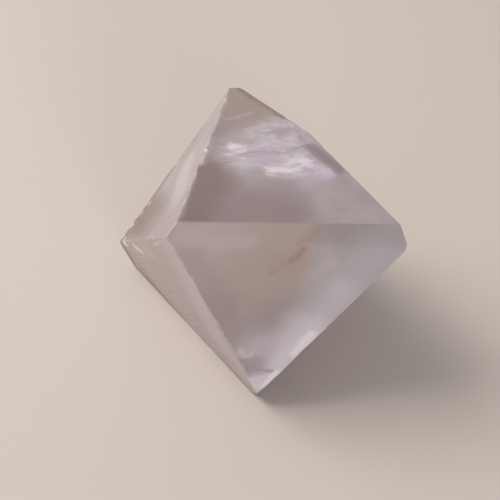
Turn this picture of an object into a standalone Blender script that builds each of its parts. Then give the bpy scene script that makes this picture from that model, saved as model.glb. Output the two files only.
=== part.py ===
"""Fluorite octahedron: one cleaved crystal lying on one of its eight faces. Metres, +Z up."""

import math
import random

import bmesh
import bpy
from mathutils import Matrix, Vector

NAME = "fluorite_octahedron"
MM = 0.001

# Driving dimensions
EDGE = 30.0 * MM                      # mean length of the twelve edges
MEAN_REACH = EDGE / math.sqrt(6)      # centre to face in a regular octahedron of that edge
EDGE_WEAR = 0.12 * MM                 # width of the worn strip along every edge
BLANK = 3 * EDGE                      # block that the faces are cleaved from

# Cleavage faces: compass bearing of the outward normal from +X, its rise above the
# horizontal, and how far the face stands beyond the mean reach. The angles stay within
# a few degrees of a regular octahedron's, and the uneven reaches split its corners.
FACES = {
    "top": (56.0, 87.5, 0.3 * MM),
    "front": (-67.0, 20.0, -0.6 * MM),
    "left": (178.0, 21.5, 0.6 * MM),
    "back": (50.5, 17.5, 0.0),
    "under_left": (-126.0, -19.0, -0.5 * MM),
    "under_right": (-10.0, -26.0, 0.1 * MM),
    "under_back": (113.5, -18.5, -1.4 * MM),
    "base": (0.0, -90.0, 0.9 * MM),
}

# Corners, each where three faces meet
CORNERS = {
    "near_high": ("top", "left", "front"),
    "near_low": ("left", "front", "under_left"),
    "tip_left": ("top", "left", "under_back"),
    "tip_right": ("top", "back", "under_back"),
    "right_high": ("top", "back", "front"),
    "right_low": ("front", "back", "under_right"),
    "foot_high": ("front", "under_left", "under_right"),
    "foot_low": ("under_left", "under_right", "base"),
    "left_high": ("left", "under_left", "under_back"),
    "left_low": ("under_left", "under_back", "base"),
    "far_high": ("back", "under_back", "under_right"),
    "far_low": ("under_back", "under_right", "base"),
}

# Flat breaks at corners: bearing and rise of the break's normal, and how deep it bites
# into the crystal's furthest point that way.
BREAKS = (
    (66.0, 30.0, 2.1 * MM),           # behind the tip, down to the notch
    (-70.0, 14.5, 0.36 * MM),         # small facet over the foot
    (172.0, -4.0, 0.12 * MM),         # left corner
    (-6.0, 2.0, 0.35 * MM),           # right corner
    (48.0, -46.0, 0.6 * MM),          # far corner, near the base
)

# Shell-shaped chips along edges: the edge's two corners, place along it, length, width, depth
CHIPS = (
    ("near_high", "tip_left", 0.20, 3.2 * MM, 0.6 * MM, 0.13 * MM),
    ("near_high", "tip_left", 0.41, 1.8 * MM, 1.2 * MM, 0.24 * MM),
    ("near_high", "tip_left", 0.46, 3.0 * MM, 1.0 * MM, 0.20 * MM),
    ("near_high", "tip_left", 0.49, 1.2 * MM, 1.5 * MM, 0.27 * MM),
    ("near_high", "tip_left", 0.66, 2.8 * MM, 0.6 * MM, 0.13 * MM),
    ("near_high", "tip_left", 0.88, 1.2 * MM, 1.0 * MM, 0.20 * MM),
    ("tip_right", "right_high", 0.29, 1.6 * MM, 1.5 * MM, 0.45 * MM),
    ("tip_right", "right_high", 0.46, 2.4 * MM, 0.8 * MM, 0.16 * MM),
    ("foot_high", "right_low", 0.30, 3.8 * MM, 1.0 * MM, 0.17 * MM),
    ("foot_high", "right_low", 0.10, 2.4 * MM, 0.9 * MM, 0.15 * MM),
    ("left_high", "tip_left", 0.05, 1.4 * MM, 1.6 * MM, 0.50 * MM),
    ("left_high", "tip_left", 0.12, 1.3 * MM, 1.9 * MM, 0.64 * MM),
    ("left_high", "tip_left", 0.19, 1.3 * MM, 1.6 * MM, 0.54 * MM),
    ("left_high", "tip_left", 0.26, 1.2 * MM, 1.5 * MM, 0.48 * MM),
    ("left_high", "tip_left", 0.38, 3.6 * MM, 0.7 * MM, 0.14 * MM),
    ("left_high", "tip_left", 0.74, 1.9 * MM, 0.6 * MM, 0.13 * MM),
    ("left_high", "near_low", 0.10, 1.9 * MM, 1.3 * MM, 0.30 * MM),
    ("left_low", "foot_low", 0.07, 1.6 * MM, 1.2 * MM, 0.26 * MM),
    ("left_low", "foot_low", 0.72, 1.4 * MM, 0.9 * MM, 0.18 * MM),
    ("far_low", "left_low", 0.35, 2.4 * MM, 1.4 * MM, 0.32 * MM),
    ("far_low", "foot_low", 0.55, 1.8 * MM, 1.1 * MM, 0.24 * MM),
    ("far_high", "tip_right", 0.45, 2.2 * MM, 1.3 * MM, 0.34 * MM),
    ("far_high", "right_low", 0.30, 1.7 * MM, 1.1 * MM, 0.26 * MM),
)

# Cleavage ledges: face, bearing in which the face drops, distance of the drop from the
# crystal's axis, and height of the drop.
LEDGES = (
    ("top", 135.0, 10.4 * MM, 0.06 * MM),
    ("back", 140.0, 5.2 * MM, 0.16 * MM),
    ("back", 140.0, 9.0 * MM, 0.34 * MM),
    ("under_back", 200.0, 8.6 * MM, 0.22 * MM),
    ("under_right", 60.0, 7.0 * MM, 0.18 * MM),
)

# Fine nicks scattered along the edges, but for the one between the top and front faces
NICK_EDGES = (
    ("near_high", "tip_left"), ("tip_right", "right_high"), ("near_low", "foot_high"),
    ("foot_high", "right_low"), ("left_low", "foot_low"), ("left_high", "tip_left"),
    ("left_high", "near_low"), ("far_low", "left_low"), ("far_low", "foot_low"),
    ("far_high", "right_low"), ("far_high", "tip_right"),
)
NICKS_PER_EDGE = 5
NICK_LENGTH = (0.35 * MM, 0.95 * MM)
NICK_DEPTH_SHARE = 0.16               # depth of a nick as a share of its length
NICK_SEED = 11

LAVENDER = (0.62, 0.52, 0.58, 1.0)
FLUORITE_IOR = 1.434


def clear_scene():
    for thing in list(bpy.data.objects):
        bpy.data.objects.remove(thing, do_unlink=True)


def direction(bearing, rise):
    """Unit vector at a compass bearing from +X and a rise above the horizontal."""
    turn = math.radians(bearing)
    lift = math.radians(rise)
    flat = math.cos(lift)
    return Vector((flat * math.cos(turn), flat * math.sin(turn), math.sin(lift)))


def face_plane(face):
    bearing, rise, growth = FACES[face]
    return direction(bearing, rise), MEAN_REACH + growth


def corner_point(corner):
    """Point that the corner's three face planes share."""
    planes = [face_plane(face) for face in CORNERS[corner]]
    normals = Matrix([normal for normal, reach in planes])
    reaches = Vector([reach for normal, reach in planes])
    return normals.inverted() @ reaches


def cleave(mesh, normal, reach):
    """Cut away all that lies beyond a plane, and close the cut with one flat face."""
    whole = mesh.verts[:] + mesh.edges[:] + mesh.faces[:]
    bmesh.ops.bisect_plane(mesh, geom=whole, plane_co=normal * reach, plane_no=normal,
                           clear_outer=True, dist=1e-7)
    rim = [edge for edge in mesh.edges if edge.is_boundary]
    bmesh.ops.holes_fill(mesh, edges=rim, sides=0)


def octahedron():
    """The eight cleavage faces, then the flat breaks at the corners."""
    mesh = bmesh.new()
    bmesh.ops.create_cube(mesh, size=BLANK)
    for face in FACES:
        cleave(mesh, *face_plane(face))
    for bearing, rise, bite in BREAKS:
        normal = direction(bearing, rise)
        furthest = max(corner.co.dot(normal) for corner in mesh.verts)
        cleave(mesh, normal, furthest - bite)
    bmesh.ops.recalc_face_normals(mesh, faces=mesh.faces[:])
    return mesh


def as_object(mesh, name):
    data = bpy.data.meshes.new(name)
    mesh.to_mesh(data)
    mesh.free()
    thing = bpy.data.objects.new(name, data)
    bpy.context.collection.objects.link(thing)
    return thing


def edge_frame(start, end, place):
    """Axes at a place along an edge: along it, across it, and out of the crystal."""
    foot = corner_point(start)
    head = corner_point(end)
    shared = [face for face in CORNERS[start] if face in CORNERS[end]]
    outward = sum((face_plane(face)[0] for face in shared), Vector()).normalized()
    along = (head - foot).normalized()
    across = outward.cross(along)
    axes = Matrix((along, across, outward)).transposed().to_4x4()
    return Matrix.Translation(foot.lerp(head, place)) @ axes


def add_shell(mesh, frame, length, width, depth, rings=2):
    """Faceted egg whose lower part reaches a given depth below the frame's origin."""
    widening = 1 / math.sqrt(1 - 0.5 ** 2)
    size = Matrix.Diagonal((length * widening / 2, width * widening, 2 * depth, 1))
    lift = Matrix.Translation((0, 0, depth))
    bmesh.ops.create_icosphere(mesh, subdivisions=rings, radius=1.0, matrix=frame @ lift @ size)


def chip_cutter():
    mesh = bmesh.new()
    for start, end, place, length, width, depth in CHIPS:
        add_shell(mesh, edge_frame(start, end, place), length, width, depth, rings=3)
    return as_object(mesh, "chip_cutter")


def nick_cutter():
    """Small chips at uneven spacing, so that none overlaps its neighbour."""
    dice = random.Random(NICK_SEED)
    mesh = bmesh.new()
    for start, end in NICK_EDGES:
        for number in range(NICKS_PER_EDGE):
            place = (number + dice.uniform(0.25, 0.75)) / NICKS_PER_EDGE
            length = dice.uniform(*NICK_LENGTH)
            width = length * dice.uniform(0.5, 0.9)
            frame = edge_frame(start, end, 0.04 + 0.92 * place)
            add_shell(mesh, frame, length, width, length * NICK_DEPTH_SHARE, rings=1)
    return as_object(mesh, "nick_cutter")


def ledge_cutter(face, bearing, distance, drop):
    """Block that planes the face down by the drop, beyond a straight line across it."""
    normal, reach = face_plane(face)
    outward = direction(bearing, 0)
    outward = (outward - normal * outward.dot(normal)).normalized()
    side = normal.cross(outward)
    axes = Matrix((outward, side, normal)).transposed().to_4x4()
    mesh = bmesh.new()
    bmesh.ops.create_cube(mesh, size=BLANK)
    mesh.transform(Matrix.Translation((BLANK / 2, 0, BLANK / 2)))
    mesh.transform(axes)
    mesh.transform(Matrix.Translation(outward * distance + normal * (reach - drop)))
    return as_object(mesh, f"ledge_{face}_{round(distance / MM)}")


def subtract(crystal, cutter):
    """Subtract a cutter with a Boolean modifier, and keep the cutter as a wire guide."""
    cut = crystal.modifiers.new(f"without {cutter.name}", "BOOLEAN")
    cut.operation = "DIFFERENCE"
    cut.solver = "EXACT"
    cut.use_self = True
    cut.object = cutter
    cutter.hide_render = True
    cutter.display_type = "WIRE"


def wear_edges(crystal):
    wear = crystal.modifiers.new("worn edges", "BEVEL")
    wear.width = EDGE_WEAR
    wear.segments = 1
    wear.limit_method = "ANGLE"
    wear.angle_limit = math.radians(20)


def fluorite():
    material = bpy.data.materials.new("pale lavender fluorite")
    material.use_nodes = True
    shader = material.node_tree.nodes["Principled BSDF"]
    shader.inputs["Base Color"].default_value = LAVENDER
    shader.inputs["Roughness"].default_value = 0.06
    shader.inputs["Metallic"].default_value = 0.0
    shader.inputs["IOR"].default_value = FLUORITE_IOR
    shader.inputs["Transmission Weight"].default_value = 0.8
    material.diffuse_color = LAVENDER
    return material


def stand_on_origin(things, crystal):
    """Move everything so that the crystal's base is at z = 0, centred on the origin."""
    bpy.context.view_layer.update()
    finished = crystal.evaluated_get(bpy.context.evaluated_depsgraph_get())
    points = [vertex.co for vertex in finished.data.vertices]
    low = Vector([min(point[axis] for point in points) for axis in range(3)])
    high = Vector([max(point[axis] for point in points) for axis in range(3)])
    shift = Vector((-(low.x + high.x) / 2, -(low.y + high.y) / 2, -low.z))
    for thing in things:
        thing.data.transform(Matrix.Translation(shift))


def build():
    clear_scene()
    crystal = as_object(octahedron(), NAME)
    crystal.data.materials.append(fluorite())
    wear_edges(crystal)
    cutters = [ledge_cutter(*ledge) for ledge in LEDGES] + [chip_cutter(), nick_cutter()]
    for cutter in cutters:
        subtract(crystal, cutter)
    stand_on_origin([crystal] + cutters, crystal)


build()
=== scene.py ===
"""Looks of the fluorite octahedron: a hazy, see-through lavender crystal on a pale floor."""

import math

import bpy
from mathutils import Matrix, Vector

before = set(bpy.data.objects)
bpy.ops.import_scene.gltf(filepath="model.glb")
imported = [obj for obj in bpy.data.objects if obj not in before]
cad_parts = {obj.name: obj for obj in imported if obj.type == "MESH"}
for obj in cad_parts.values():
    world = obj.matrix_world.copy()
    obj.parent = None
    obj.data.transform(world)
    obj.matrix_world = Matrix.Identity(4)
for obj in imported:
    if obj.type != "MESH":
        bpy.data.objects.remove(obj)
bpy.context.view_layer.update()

MM = 0.001
NODE = "fluorite_octahedron"
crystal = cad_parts[NODE]

# Where the crystal's middle sits above the floor, and the camera's place round it
CENTRE = Vector((-0.24, 0.22, 13.15)) * MM
CAMERA_TARGET = CENTRE + Vector((-0.2, -0.9, -0.8)) * MM
CAMERA_DISTANCE = 144.8 * MM
CAMERA_RISE = math.radians(49.0)
CAMERA_ROLL = math.radians(16.4)
FOCAL_LENGTH = 81.3
SENSOR_WIDTH = 36                     # millimetres, like the focal length
CLIP_START = 10 * MM

# The mineral
FLUORITE_IOR = 1.434
CLEAR_SHARE = 0.5                     # of the light that meets a face goes in, the rest scatters off it
HAZE = 0.3                            # roughness of the cleaved faces
INNER_COLOUR = (0.55, 0.42, 0.52, 1)
INNER_DENSITY = 20.0                  # per metre

# Surface colours
LAVENDER = (0.455, 0.40, 0.41, 1)
PALE_LAVENDER = (0.52, 0.465, 0.475, 1)
COOL = (0.435, 0.395, 0.385, 1)
# Pearly whites: the painted sheen and glow, and paler bands and veils
PEARL = (0.96, 0.90, 0.98, 1)
PINK_PEARL = (0.98, 0.88, 0.97, 1)
BLUE_PEARL = (0.88, 0.88, 0.95, 1)
PURPLE = (0.42, 0.32, 0.46, 1)
LILAC = (0.60, 0.51, 0.62, 1)
TAN = (0.435, 0.36, 0.325, 1)
MAUVE = (0.315, 0.23, 0.225, 1)
WARM = (0.45, 0.365, 0.32, 1)
ROSE = (0.55, 0.45, 0.43, 1)
BLUSH = (0.66, 0.555, 0.56, 1)
RUST = (0.34, 0.20, 0.125, 1)
# Near white, for paler worn edges, stripes and streaks, and for painted glints and highlights
FROST_AND_GLINT = (1.0, 0.96, 0.95, 1)
SMOKE = (0.28, 0.225, 0.215, 1)
BARK = (0.24, 0.165, 0.12, 1)
BARE = (0.66, 0.595, 0.62, 1)
DEEP_LILAC = (0.50, 0.425, 0.52, 1)

# Floor, sky and lamps
FLOOR_COLOUR = (0.46, 0.412, 0.375, 1)
FLOOR_ROUGHNESS = 0.9
FLOOR_REACH = 2.0
FLOOR_DROP = 0.1 * MM                 # how far it lies under the crystal's flat base
SKY_COLOUR = (0.80, 0.78, 0.77, 1)
SKY_LEFT = 1.25                       # strength of the sky on the left, fading evenly to the right
SKY_RIGHT = 0.08
# Name, bearing, rise, distance and side of the lamp (m), power, colour
LAMPS = (
    ("window", 178, 42, 0.6, 0.3, 4.3, (1.0, 0.97, 0.93)),
    ("low fill", -60, 7, 0.6, 0.25, 2.45, (0.98, 0.96, 1.0)),
)

# Grain of the crystal's look, in millimetres unless said
SWAY_SIZE = 1.25                      # the marks' outlines waver over this length
SWAY_REACH = 0.9                      # and by up to half of this
CLOUD_SIZE = 3.0
MOTTLE_SIZE = 1.2
FADE_SIZE = 2.2                       # lines fade in and out over this length
ON_FACE = (0.66, 0.78)                # cosine to a face's normal where its marks begin, and are full
EDGE_WEAR = 0.40                      # width of the paler, worn edges
EDGE_WEAR_STRENGTH = 0.28
CLEAN_EDGE = 1.2                      # width of the unworn strip along the top and front faces' edge
TERRACE = 0.9                         # mean thickness of the cleavage terraces
TERRACE_SETS = 3                      # one for each of the widest faces
TERRACE_SHIFT = 17.0                  # keeps the sets apart in the noise
TERRACE_HEIGHT = 0.010
PATCH_SIZE = 5.0                      # the terraces show in patches of this size
PATCH_SHIFT = (31, 7, 3)
PATCH_LEVEL = 0.40                    # of the noise where the first set begins to show
PATCH_LEVEL_STEP = 0.08               # and how much higher each next set's is
PATCH_SOFT = 0.15
MOTTLE_HEIGHT = 0.015


class Recipe:
    """Adds nodes to a material with short calls, each giving back an output socket."""

    def __init__(self, name):
        self.material = bpy.data.materials.new(name)
        self.material.use_nodes = True
        self.nodes = self.material.node_tree.nodes
        self.links = self.material.node_tree.links
        self.shader = self.nodes["Principled BSDF"]
        self.output = self.nodes["Material Output"]

    def feed(self, socket, value):
        if isinstance(value, bpy.types.NodeSocket):
            self.links.new(value, socket)
        else:
            socket.default_value = value

    def math(self, operation, *values):
        node = self.nodes.new("ShaderNodeMath")
        node.operation = operation
        for socket, value in zip(node.inputs, values):
            self.feed(socket, value)
        return node.outputs[0]

    def vector(self, operation, *values):
        node = self.nodes.new("ShaderNodeVectorMath")
        node.operation = operation
        for socket, value in zip(node.inputs, values):
            self.feed(socket, value)
        gives_number = operation in ("DOT_PRODUCT", "DISTANCE")
        return node.outputs["Value" if gives_number else "Vector"]

    def stretched(self, vector, factor):
        node = self.nodes.new("ShaderNodeVectorMath")
        node.operation = "SCALE"
        self.feed(node.inputs["Vector"], vector)
        self.feed(node.inputs["Scale"], factor)
        return node.outputs["Vector"]

    def limited(self, value):
        """Value kept from 0 to 1, without the clamp option, which fills Cycles' stack."""
        return self.math("MAXIMUM", self.math("MINIMUM", value, 1.0), 0.0)

    def ease(self, value, empty, full):
        """0 where value is at empty, 1 where it is at full, and a smooth step between."""
        node = self.nodes.new("ShaderNodeMapRange")
        node.interpolation_type = "SMOOTHSTEP"
        node.clamp = False            # the step is bounded already, and clamps fill Cycles' stack
        self.feed(node.inputs["Value"], value)
        node.inputs["From Min"].default_value = empty
        node.inputs["From Max"].default_value = full
        return node.outputs["Result"]

    def tint(self, amount, first, second):
        node = self.nodes.new("ShaderNodeMix")
        node.data_type = "RGBA"
        self.feed(node.inputs[0], amount)
        self.feed(node.inputs[6], first)
        self.feed(node.inputs[7], second)
        return node.outputs[2]

    def clouds(self, place, size, detail=2.0):
        """Outputs of a noise with clouds about size millimetres across."""
        node = self.nodes.new("ShaderNodeTexNoise")
        self.feed(node.inputs["Vector"], place)
        node.inputs["Scale"].default_value = 1 / size
        node.inputs["Detail"].default_value = detail
        return node.outputs

    def noise(self, place, size, detail=2.0):
        """Clouds about size millimetres across, from 0 to 1."""
        return self.clouds(place, size, detail)["Fac"]

    def swayed(self, place, size, reach):
        """Place moved to and fro by up to half of reach, over lengths of about size."""
        offset = self.vector("SUBTRACT", self.clouds(place, size)["Color"], (0.5, 0.5, 0.5))
        return self.vector("ADD", place, self.stretched(offset, reach))

    def layers(self, depth, size, detail=2.0):
        """Noise that changes with depth only, in sheets about size millimetres thick."""
        node = self.nodes.new("ShaderNodeTexNoise")
        node.noise_dimensions = "1D"
        self.feed(node.inputs["W"], depth)
        node.inputs["Scale"].default_value = 1 / size
        node.inputs["Detail"].default_value = detail
        return node.outputs["Fac"]

    def flow(self, amount, first, second):
        """Direction that turns from first to second as amount goes from 0 to 1."""
        node = self.nodes.new("ShaderNodeMix")
        node.data_type = "VECTOR"
        self.feed(node.inputs[0], amount)
        self.feed(node.inputs[4], first)
        self.feed(node.inputs[5], second)
        return node.outputs[1]

    def most(self, masks):
        """The strongest of the masks at each point."""
        strongest = masks[0]
        for mask in masks[1:]:
            strongest = self.math("MAXIMUM", strongest, mask)
        return strongest

    def product(self, *values):
        result = values[0]
        for value in values[1:]:
            result = self.math("MULTIPLY", result, value)
        return result

    def raised(self, value, gain, base):
        """Value times gain, plus base."""
        return self.math("ADD", base, self.product(value, gain))


def direction(bearing, rise):
    """Unit vector at a bearing from +X and a rise above the horizontal, in degrees."""
    turn = math.radians(bearing)
    lift = math.radians(rise)
    return Vector((math.cos(lift) * math.cos(turn), math.cos(lift) * math.sin(turn), math.sin(lift)))


class Chart:
    """One flat face of the crystal, on which marks are placed by two of the three coordinates."""

    def __init__(self, recipe, place, facing, way, dropped):
        self.recipe = recipe
        self.outward = direction(*way)
        self.kept = [axis for axis in range(3) if axis != dropped]
        keep = Vector((1, 1, 1))
        keep[dropped] = 0
        self.flat = recipe.vector("MULTIPLY", place, keep)
        self.here = recipe.ease(recipe.vector("DOT_PRODUCT", facing, self.outward), *ON_FACE)

    def point(self, pair):
        """A mark's two coordinates as a vector, with the third left at 0."""
        spot = Vector((0, 0, 0))
        for axis, value in zip(self.kept, pair):
            spot[axis] = value
        return spot

    def stroke(self, start, end, core, fade):
        """1 within core millimetres of the line from start to end, easing to 0 at fade."""
        recipe = self.recipe
        first = self.point(start)
        run = self.point(end) - first
        offset = recipe.vector("SUBTRACT", self.flat, first)
        along = recipe.vector("DOT_PRODUCT", offset, run)
        share = recipe.limited(recipe.math("DIVIDE", along, run.length_squared))
        nearest = recipe.stretched(run, share)
        return recipe.ease(recipe.vector("DISTANCE", offset, nearest), fade, core)

    def trail(self, points, core, fade):
        """Strokes from each point to the next, joined."""
        return self.recipe.most([self.stroke(a, b, core, fade) for a, b in zip(points, points[1:])])

    def marks(self, rows):
        """Rows of strength, core, fade and points, joined in one mask kept to this face."""
        recipe = self.recipe
        masks = [recipe.product(self.trail(points, core, fade), strength)
                 for strength, core, fade, *points in rows]
        return recipe.product(recipe.most(masks), self.here)

    def side(self, start, end, soft):
        """1 to the left of the line from start to end, 0 to its right, soft millimetres wide."""
        recipe = self.recipe
        first = self.point(start)
        run = (self.point(end) - first).normalized()
        across = Vector((0, 0, 0))
        a, b = self.kept
        across[a] = -run[b]
        across[b] = run[a]
        offset = recipe.vector("SUBTRACT", self.flat, first)
        return recipe.ease(recipe.vector("DOT_PRODUCT", offset, across), -soft, soft)


# Marks are rows of strength, core and fade (mm), then points (mm from the crystal's middle).
# Each face's WAY is the bearing and rise of its normal, in degrees.
# Top face, by x and y
TOP_WAY = (56, 87.5)
# The veil is a real inner cleavage sheet; its pearly brightness is a painted reflection
VEIL = [
    (0.72, 0.8, 3.2, (-4.8, 1.6), (-1.4, 3.0), (2.8, 4.2)),
    (0.50, 0.8, 3.0, (-2.8, 6.0), (0.4, 6.6)),
    (0.40, 0.4, 2.0, (-2.4, 8.6), (-0.6, 9.2)),
    (0.85, 0.5, 2.0, (-0.4, 1.0), (2.6, 2.2), (5.6, 3.4)),
    (0.30, 1.5, 4.5, (-4.6, 1.6), (-1.6, 4.4), (0.8, 7.0)),
]
VEIL_PLAIN = 0.22                     # share of the veil that shows between the silk
VEIL_SILK = 1.1                       # and what the silk adds
# Painted highlights: bright flecks in the veil's sheen
FLECKS = [
    (0.95, 0.3, 1.3, (-5.6, 2.4), (-4.4, 2.7)),
    (0.45, 0.2, 1.0, (-5.2, 0.7), (-4.0, 1.0)),
    (0.50, 0.4, 1.8, (-1.4, 4.6), (-0.6, 5.5)),
    (1.0, 0.3, 1.3, (2.4, 4.4), (3.5, 3.6)),
    (1.0, 0.20, 1.0, (-0.3, 0.7), (1.2, 1.3), (2.9, 2.4)),
    (0.80, 0.10, 0.7, (4.8, 2.3), (5.4, 2.9)),
    (0.60, 0.10, 0.7, (0.2, 9.9), (1.0, 9.4)),
]
FLECK_PLAIN = 0.55
FLECK_SILK = 0.8
LILAC_PATCHES = [
    (0.7, 0.6, 2.4, (-2.0, 2.4), (-0.6, 3.0)),
    (0.6, 0.8, 2.6, (4.2, 1.2), (5.6, 3.2)),
]
PURPLE_LINES = [
    (0.62, 0.03, 0.36, (-6.2, 0.4), (-4.9, 1.6), (-3.6, 2.6), (-1.9, 3.4),
     (0.6, 4.5), (1.8, 5.7), (2.8, 6.7), (4.4, 7.4)),
    (0.35, 0.02, 0.36, (-1.7, 1.2), (-0.4, 1.4), (1.4, 2.1), (2.6, 3.2)),
    (0.42, 0.02, 0.42, (-3.7, 6.2), (-2.3, 6.9), (-0.8, 8.1), (0.5, 9.2)),
    (0.45, 0.02, 0.50, (0.9, 9.6), (2.4, 7.3), (3.5, 6.3), (5.1, 5.5), (8.5, 2.9)),
]
TIP_TAN = [(1.0, 1.5, 6.0, (-7.8, 13.4), (-5.4, 10.6))]
TIP_STREAK = [(0.16, 0.02, 0.50, (-7.6, 7.0), (-5.8, 8.6), (-4.8, 9.8))]
RIM_DARK = [
    (0.75, 0.3, 1.3, (3.4, 6.8), (7.4, 4.4)),
    (0.9, 0.12, 0.8, (-7.2, 13.5), (-4.2, 12.3), (-0.9, 10.8)),
]
RIM_PALE = [
    (0.65, 0.1, 0.8, (-9.1, -11.5), (-9.1, -4.6)),
    (0.75, 0.3, 1.3, (-9.0, -1.2), (-8.9, 2.6)),
    (0.60, 0.1, 0.8, (-8.9, 4.4), (-8.6, 11.0)),
]
TOP_SHADE = [
    (1.0, 2.0, 8.0, (-9.0, -10.6), (-8.2, -5.0)),
    (0.7, 1.0, 6.0, (-6.0, -8.5), (2.0, -5.5)),
    (0.48, 0.6, 3.6, (-8.4, 0.8), (-8.2, 7.6)),
]

# Front face, by x and z
FRONT_WAY = (-67, 20)
FRONT_PEARL = 0.8                     # how far the glow is lilac white rather than pink and blue
WARM_CENTRE = [
    (1.0, 2.5, 6.5, (0.8, 10.0), (4.6, 9.6), (5.0, 5.5), (0.5, 5.5)),
    (0.55, 3.0, 9.0, (-8.0, 10.5), (-3.5, 4.5), (0.0, 0.0)),
]
WARM_BOUND = ((7.3, 3.0), (6.6, 13.0))   # the warm centre stays to the left of this line
WARM_BOUND_SOFT = 0.8
PINK_BAND = [(0.6, 0.3, 1.6, (-7.8, 11.2), (-3.3, 10.4), (-0.6, 10.6))]
RUST_MARKS = [
    (0.40, 0.05, 1.0, (6.5, 11.8), (6.6, 11.0), (6.0, 10.5), (5.1, 10.3)),
    (0.66, 0.05, 0.8, (5.8, 9.3), (5.3, 8.4), (4.6, 7.8)),
    (0.40, 0.05, 0.7, (4.6, 7.8), (3.8, 7.0), (2.9, 6.4)),
    (0.20, 0.4, 2.6, (3.6, 7.8), (6.0, 7.8)),
]
# Painted glow: light passing through the crystal, laid on as pale colour towards the front's lower
# right
GLOW = [
    (0.62, 0.1, 5.2, (9.6, -1.4), (8.4, -4.4), (7.4, -7.0)),
    (0.36, 0.1, 5.2, (12.0, 3.4), (10.4, 0.4), (9.2, -2.2)),
    (0.30, 0.5, 4.4, (6.6, -3.8), (3.4, -4.4)),
    (0.22, 0.5, 6.0, (15.0, 8.6), (12.0, 3.8)),
    (0.66, 0.9, 2.2, (5.4, -9.2), (6.8, -8.8)),
]
# Painted highlights: bright streaks on the front near the foot
GLOW_STREAKS = [
    (0.9, 0.10, 1.1, (10.1, -2.2), (9.5, -3.6), (9.0, -4.9)),
    (1.0, 0.25, 0.8, (7.4, -7.7), (6.9, -8.6), (6.5, -9.6)),
    (0.30, 0.05, 0.6, (2.2, -4.2), (2.8, -5.0), (3.6, -4.6)),
]
FRACTURES = [
    (0.42, 0.30, 2.0, (2.9, -6.0), (4.6, -6.4)),
    (0.55, 0.04, 0.45, (4.8, -6.9), (6.0, -7.2), (6.9, -7.3)),
]
FRONT_SHADE = [
    (0.33, 0.8, 3.4, (-6.5, 8.1), (-4.0, 4.4), (-1.0, 0.0), (0.9, -2.4)),
    (0.3, 1.0, 4.0, (0.8, -2.0), (4.0, -0.2)),
]
# Painted shade: a darker strip along the upper right of the front
RIGHT_SHADE = [(0.35, 0.5, 2.0, (6.9, 11.6), (13.2, 11.1), (16.2, 10.5))]

# Left face, by y and z
LEFT_WAY = (178, 21.5)
LEFT_LIGHT = [(0.22, 0.8, 2.8, (2.7, 7.2), (-5.5, 9.9))]
LEFT_GREY = [(0.40, 0.6, 2.2, (10.5, 8.6), (6.8, 4.7), (1.3, 5.5), (-4.3, 6.8))]
LEFT_TAN = [(0.55, 0.4, 1.8, (6.2, 8.2), (5.8, 6.5))]
LEFT_SHADE = [
    (1.0, 1.4, 5.2, (1.2, -2.2), (-1.8, 0.6), (-4.6, 3.6)),
    (0.42, 1.0, 4.5, (-5.2, 4.4), (-11.2, 9.6)),
]
LEFT_LILAC = [(0.18, 0.8, 2.8, (-4.4, 2.5), (-10.5, 10.4))]
LEFT_RIM = [
    (0.85, 0.45, 1.1, (5.3, -2.4), (5.7, -0.4), (6.3, 1.6)),
    (0.70, 0.15, 0.60, (8.4, 6.0), (9.0, 8.0)),
]
CORNER_BROWN = [
    (0.80, 1.0, 4.6, (0.8, -8.6), (2.4, -5.4), (0.8, -3.2)),
    (0.42, 0.6, 3.6, (-1.9, -1.6), (-0.6, 0.2)),
    (0.40, 0.6, 2.6, (2.6, -3.6), (4.6, -0.8)),
]

# Bright spots where chips at the left corner catch the light, by x, y and z
CHIP_GLINTS = ((-14.6, 3.2, -2.2), (-15.3, 2.9, -4.0), (-16.1, 2.1, -6.1), (-16.6, 0.3, -7.2))
GLINT_CORE = 0.20
GLINT_FADE = 0.45
GLINT_GRAIN = 0.45
GLINT_RAGGED = 0.8                    # how far a noise of that grain pushes their rims in and out

# Face under the left edge, by x and z
UNDER_WAY = (-126, -19)
UNDER_ROSE = 0.6
EDGE_BAND = [
    (0.80, 0.9, 3.0, (-8.9, 9.6), (-5.9, 3.5), (-3.3, -1.8), (-0.2, -6.5), (3.0, -9.0)),
    (0.50, 0.4, 2.2, (-13.4, -2.2), (-12.2, -0.4)),
]
UNDER_GLINTS = [
    (0.9, 0.25, 0.65, (-14.7, -4.1), (-13.5, -3.6)),
    (0.9, 0.15, 0.50, (-16.5, -7.8), (-16.0, -7.2)),
    (0.35, 0.05, 0.35, (-11.6, 4.2), (-10.4, 8.0)),
]
UNDER_SHADE = [
    (0.80, 0.7, 1.9, (-17.0, -9.4), (-15.4, -12.6), (-8.0, -13.4)),
    (0.50, 0.3, 1.7, (-8.0, -13.2), (4.0, -13.2)),
    (0.14, 1.5, 5.0, (-13.0, -5.0), (-6.0, -9.5), (1.0, -11.0)),
    (0.36, 0.8, 3.4, (-16.0, -8.4), (-14.2, -10.4), (-12.8, -11.4)),
]
STRIPED = [(1.0, 2.0, 5.0, (-14.0, -6.0), (-8.0, -8.5), (-3.0, -11.0))]
STRIPE_AXIS = (-0.93, 0.03, 0.37)      # the left face's normal, so the stripes follow that edge
STRIPE_WIDTH = 0.30
STRIPE_STRENGTH = 0.18

# The faces away from these four are barer, with lilac growth zones across this direction
ZONE_AXIS = (0.45, 0.30, 0.84)
ZONE_WIDTH = 3.0
ZONE_STRENGTH = 0.5
HIDDEN_VEIL = 0.55

# Directions along which the silk is drawn out on the top and front faces, and how far
TOP_SILK = (0.84, 0.54, 0.0)
FRONT_SILK = (0.46, 0.48, 0.75)
SILK_PULL = -0.72
SILK_SIZE = 0.8


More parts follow.
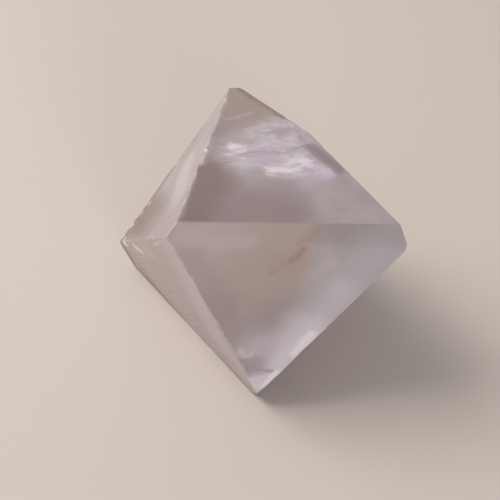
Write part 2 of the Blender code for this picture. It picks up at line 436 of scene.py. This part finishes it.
def face_planes(mesh, count=8):
    """The outward normals and distances (mm from the crystal's middle) of the largest flat faces."""
    areas = {}
    for polygon in mesh.polygons:
        reach = polygon.normal.dot(polygon.center - CENTRE) / MM
        key = tuple(round(value, 2) for value in (*polygon.normal, reach / 10))
        kept = areas.setdefault(key, [0.0, polygon.normal.copy(), reach])
        kept[0] += polygon.area
    widest = sorted(areas.values(), key=lambda row: -row[0])[:count]
    return [(normal, reach) for area, normal, reach in widest]


def pick_plane(planes, chart):
    """The plane that faces most nearly the chart's way."""
    return max(planes, key=lambda plane: plane[0].dot(chart.outward))


def near_plane(recipe, place, plane, width):
    """1 on a face's plane, easing to 0 width millimetres inside it."""
    normal, reach = plane
    depth = recipe.math("SUBTRACT", reach, recipe.vector("DOT_PRODUCT", place, normal))
    return recipe.ease(depth, width, 0.0)


def near_edges(recipe, place, planes, width):
    """1 on the crystal's edges, easing to 0 width millimetres away."""
    closeness = 0.0
    for plane in planes:
        closeness = recipe.math("ADD", closeness, near_plane(recipe, place, plane, width))
    return recipe.limited(recipe.math("SUBTRACT", closeness, 1.0))


def silky(recipe, place, on_front):
    """Soft pearly threads along the veil on top, and along the glow's edge on the front, 0 to 1."""
    along = recipe.flow(on_front, TOP_SILK, FRONT_SILK)
    stretch = recipe.vector("DOT_PRODUCT", place, along)
    pulled = recipe.stretched(along, recipe.math("MULTIPLY", stretch, SILK_PULL))
    return recipe.ease(recipe.noise(recipe.vector("ADD", place, pulled), SILK_SIZE, 4.0), 0.30, 0.68)


def chip_glints(recipe, place):
    """Small, ragged, painted glints on the chips at the left corner."""
    away = recipe.vector("DISTANCE", place, CHIP_GLINTS[0])
    for spot in CHIP_GLINTS[1:]:
        away = recipe.math("MINIMUM", away, recipe.vector("DISTANCE", place, spot))
    push = recipe.math("SUBTRACT", recipe.noise(place, GLINT_GRAIN, 1.0), 0.5)
    ragged = recipe.math("ADD", away, recipe.product(push, GLINT_RAGGED))
    return recipe.ease(ragged, GLINT_FADE, GLINT_CORE)


def cleavage_steps(recipe, place, planes):
    """Faint terraces where three of the crystal's cleavage planes come out on its faces."""
    patches = recipe.noise(recipe.vector("ADD", place, PATCH_SHIFT), PATCH_SIZE, 1.0)
    steps = None
    for number, (normal, reach) in enumerate(planes[:TERRACE_SETS]):
        depth = recipe.math("ADD", recipe.vector("DOT_PRODUCT", place, normal), TERRACE_SHIFT * number)
        sheets = recipe.ease(recipe.layers(depth, TERRACE), 0.42, 0.58)
        level = PATCH_LEVEL + PATCH_LEVEL_STEP * number
        shown = recipe.ease(patches, level, level + PATCH_SOFT)
        part = recipe.product(sheets, shown)
        steps = part if steps is None else recipe.math("ADD", steps, part)
    return steps


class Look:
    """What the layers of the crystal's look share: places, marked faces, planes and noises."""

    def __init__(self, mesh):
        recipe = Recipe("fluorite")
        self.recipe = recipe
        coordinates = recipe.nodes.new("ShaderNodeTexCoord")
        offset = recipe.vector("SUBTRACT", coordinates.outputs["Object"], CENTRE)
        self.place = recipe.stretched(offset, 1 / MM)
        self.planes = face_planes(mesh)
        self.wavy = recipe.swayed(self.place, SWAY_SIZE, SWAY_REACH)
        facing = coordinates.outputs["Normal"]
        self.top = Chart(recipe, self.wavy, facing, TOP_WAY, dropped=2)
        self.front = Chart(recipe, self.wavy, facing, FRONT_WAY, dropped=1)
        self.left = Chart(recipe, self.wavy, facing, LEFT_WAY, dropped=0)
        self.under = Chart(recipe, self.wavy, facing, UNDER_WAY, dropped=1)
        self.silk = silky(recipe, self.wavy, self.front.here)
        self.faded = recipe.ease(recipe.noise(self.place, FADE_SIZE, 1.0), 0.10, 0.50)
        self.cloud = recipe.noise(self.place, CLOUD_SIZE)
        self.mottle = recipe.noise(self.place, MOTTLE_SIZE)
        self.colour = LAVENDER

    def coat(self, mask, colour):
        """Lay a colour over what is there, as strongly as the mask says."""
        self.colour = self.recipe.tint(mask, self.colour, colour)


def colour_ground(look):
    """Lavender clouds on the four marked faces, and barer, zoned crystal on the others."""
    recipe = look.recipe
    marked = recipe.most([look.top.here, look.front.here, look.left.here, look.under.here])
    across = recipe.vector("DOT_PRODUCT", look.wavy, ZONE_AXIS)
    zones = recipe.ease(recipe.layers(across, ZONE_WIDTH), 0.42, 0.62)
    clear = recipe.tint(recipe.product(zones, ZONE_STRENGTH), BARE, DEEP_LILAC)
    veils = recipe.product(look.silk, recipe.ease(look.cloud, 0.45, 0.75), HIDDEN_VEIL)
    clear = recipe.tint(veils, clear, PEARL)
    clouded = recipe.tint(recipe.ease(look.cloud, 0.3, 0.7), LAVENDER, PALE_LAVENDER)
    look.colour = recipe.tint(marked, clear, clouded)


def shade_top_and_front(look):
    recipe = look.recipe
    top = look.top
    front = look.front
    look.coat(top.marks(TOP_SHADE), MAUVE)
    look.coat(top.marks(TIP_TAN), TAN)
    warm_side = front.side(*WARM_BOUND, WARM_BOUND_SOFT)
    look.coat(recipe.product(front.here, recipe.math("SUBTRACT", 1.0, warm_side)), COOL)
    look.coat(recipe.product(front.marks(WARM_CENTRE), warm_side), WARM)
    look.coat(front.marks(FRONT_SHADE), MAUVE)
    look.coat(front.marks(RIGHT_SHADE), SMOKE)
    look.coat(front.marks(PINK_BAND), ROSE)


def shade_left_and_under(look):
    recipe = look.recipe
    left = look.left
    under = look.under
    blotched = recipe.math("ADD", 0.5, look.mottle)
    look.coat(left.marks(LEFT_SHADE), MAUVE)
    look.coat(left.marks(LEFT_LILAC), LILAC)
    look.coat(left.marks(LEFT_GREY), COOL)
    look.coat(left.marks(LEFT_LIGHT), PEARL)
    look.coat(left.marks(LEFT_TAN), TAN)
    look.coat(recipe.limited(recipe.product(left.marks(CORNER_BROWN), blotched)), BARK)
    look.coat(recipe.product(under.here, UNDER_ROSE), ROSE)
    look.coat(under.marks(EDGE_BAND), BLUSH)
    look.coat(recipe.limited(recipe.product(under.marks(UNDER_SHADE), blotched)), BARK)
    across = recipe.vector("DOT_PRODUCT", look.wavy, STRIPE_AXIS)
    stripes = recipe.ease(recipe.layers(across, STRIPE_WIDTH, 1.0), 0.42, 0.60)
    look.coat(recipe.product(under.marks(STRIPED), stripes, STRIPE_STRENGTH), FROST_AND_GLINT)


def lay_veil_and_glow(look):
    """Painted light: the pearly sheen that the real veil on top reflects, with its flecks as painted
    highlights, and the painted glow of light through the front.
    """
    recipe = look.recipe
    pearl = recipe.tint(recipe.ease(look.cloud, 0.35, 0.65), PINK_PEARL, BLUE_PEARL)
    pearl = recipe.tint(recipe.product(look.front.here, FRONT_PEARL), pearl, PEARL)
    veil = recipe.product(look.top.marks(VEIL), recipe.raised(look.silk, VEIL_SILK, VEIL_PLAIN))
    # Painted reflection and light: the veil's sheen on top and the glow on the front
    sheen_and_glow = recipe.most([veil, look.front.marks(GLOW)])
    flecks = recipe.product(look.top.marks(FLECKS), recipe.raised(look.silk, FLECK_SILK, FLECK_PLAIN))
    look.coat(recipe.limited(recipe.most([sheen_and_glow, flecks])), pearl)


def draw_fine_marks(look):
    recipe = look.recipe
    top = look.top
    look.coat(top.marks(LILAC_PATCHES), LILAC)
    look.coat(top.marks(RIM_DARK), MAUVE)
    look.coat(top.marks(RIM_PALE), PALE_LAVENDER)
    look.coat(recipe.product(top.marks(PURPLE_LINES), look.faded), PURPLE)
    look.coat(recipe.product(top.marks(TIP_STREAK), look.faded), FROST_AND_GLINT)
    look.coat(recipe.product(look.front.marks(RUST_MARKS), look.faded), RUST)
    look.coat(look.front.marks(FRACTURES), SMOKE)
    look.coat(look.left.marks(LEFT_RIM), SMOKE)


def brighten_chips_and_edges(look):
    """Painted glints on the chips and painted highlights on the under and front faces, and paler worn
    edges but for the one between the top and front faces.
    """
    recipe = look.recipe
    place = look.place
    planes = look.planes
    sparks = chip_glints(recipe, place)
    glints = recipe.most([look.under.marks(UNDER_GLINTS), look.front.marks(GLOW_STREAKS), sparks])
    sides = [pick_plane(planes, chart) for chart in (look.top, look.front)]
    beside = [near_plane(recipe, place, plane, CLEAN_EDGE) for plane in sides]
    rougher = recipe.math("SUBTRACT", 1.0, recipe.product(*beside))
    edges = near_edges(recipe, place, planes, EDGE_WEAR)
    worn = recipe.product(edges, recipe.ease(look.mottle, 0.50, 0.62), EDGE_WEAR_STRENGTH, rougher)
    look.coat(recipe.most([glints, worn]), FROST_AND_GLINT)


def roughen(look):
    """Slight relief from the cleavage terraces and a fine mottle."""
    recipe = look.recipe
    steps = cleavage_steps(recipe, look.place, look.planes)
    terraces = recipe.product(steps, TERRACE_HEIGHT)
    height = recipe.math("ADD", terraces, recipe.product(look.mottle, MOTTLE_HEIGHT))
    bump = recipe.nodes.new("ShaderNodeBump")
    bump.inputs["Distance"].default_value = MM
    recipe.feed(bump.inputs["Height"], height)
    recipe.feed(recipe.shader.inputs["Normal"], bump.outputs[0])


def fluorite(mesh):
    look = Look(mesh)
    colour_ground(look)
    shade_top_and_front(look)
    shade_left_and_under(look)
    lay_veil_and_glow(look)
    draw_fine_marks(look)
    brighten_chips_and_edges(look)
    roughen(look)

    recipe = look.recipe
    recipe.feed(recipe.shader.inputs["Base Color"], look.colour)
    recipe.shader.inputs["Transmission Weight"].default_value = CLEAR_SHARE
    recipe.shader.inputs["Roughness"].default_value = HAZE
    recipe.shader.inputs["IOR"].default_value = FLUORITE_IOR
    absorb = recipe.nodes.new("ShaderNodeVolumeAbsorption")
    absorb.inputs["Color"].default_value = INNER_COLOUR
    absorb.inputs["Density"].default_value = INNER_DENSITY
    recipe.feed(recipe.output.inputs["Volume"], absorb.outputs[0])
    return recipe.material


def make_camera():
    back = Vector((0, -math.cos(CAMERA_RISE), math.sin(CAMERA_RISE)))
    level = Vector((1, 0, 0))
    lifted = back.cross(level)
    right = math.cos(CAMERA_ROLL) * level + math.sin(CAMERA_ROLL) * lifted
    upward = back.cross(right)
    data = bpy.data.cameras.new("camera")
    data.lens = FOCAL_LENGTH
    data.sensor_width = SENSOR_WIDTH
    data.clip_start = CLIP_START
    camera = bpy.data.objects.new("camera", data)
    place = CAMERA_TARGET + back * CAMERA_DISTANCE
    axes = Matrix((right, upward, back)).transposed().to_4x4()
    camera.matrix_world = Matrix.Translation(place) @ axes
    bpy.context.scene.collection.objects.link(camera)
    bpy.context.scene.camera = camera


def make_floor():
    """A pale matt floor, a hair under the crystal's flat base."""
    sides = ((-1, -1), (1, -1), (1, 1), (-1, 1))
    corners = [(FLOOR_REACH * x, FLOOR_REACH * y, -FLOOR_DROP) for x, y in sides]
    data = bpy.data.meshes.new("floor")
    data.from_pydata(corners, [], [(0, 1, 2, 3)])
    floor = bpy.data.objects.new("floor", data)
    recipe = Recipe("pale floor")
    recipe.shader.inputs["Base Color"].default_value = FLOOR_COLOUR
    recipe.shader.inputs["Roughness"].default_value = FLOOR_ROUGHNESS
    data.materials.append(recipe.material)
    bpy.context.scene.collection.objects.link(floor)


def make_sky():
    """Soft daylight, stronger from the left."""
    world = bpy.data.worlds.new("studio")
    bpy.context.scene.world = world
    world.use_nodes = True
    nodes = world.node_tree.nodes
    links = world.node_tree.links
    toward = nodes.new("ShaderNodeTexCoord")
    split = nodes.new("ShaderNodeSeparateXYZ")
    links.new(toward.outputs["Generated"], split.inputs[0])
    strength = nodes.new("ShaderNodeMapRange")
    strength.inputs["From Min"].default_value = -1
    strength.inputs["From Max"].default_value = 1
    strength.inputs["To Min"].default_value = SKY_LEFT
    strength.inputs["To Max"].default_value = SKY_RIGHT
    links.new(split.outputs["X"], strength.inputs["Value"])
    links.new(strength.outputs[0], nodes["Background"].inputs["Strength"])
    nodes["Background"].inputs["Color"].default_value = SKY_COLOUR


def make_lamp(name, bearing, rise, distance, size, power, colour):
    """A square lamp that faces the crystal."""
    toward = direction(bearing, rise)
    data = bpy.data.lights.new(name, "AREA")
    data.shape = "SQUARE"
    data.size = size
    data.energy = power
    data.color = colour
    lamp = bpy.data.objects.new(name, data)
    lamp.location = CENTRE + toward * distance
    lamp.rotation_mode = "QUATERNION"
    lamp.rotation_quaternion = toward.to_track_quat("Z", "Y")
    bpy.context.scene.collection.objects.link(lamp)


make_camera()
crystal.data.materials.clear()
crystal.data.materials.append(fluorite(crystal.data))
make_floor()
bpy.context.scene.view_settings.view_transform = "Standard"
make_sky()
for lamp in LAMPS:
    make_lamp(*lamp)
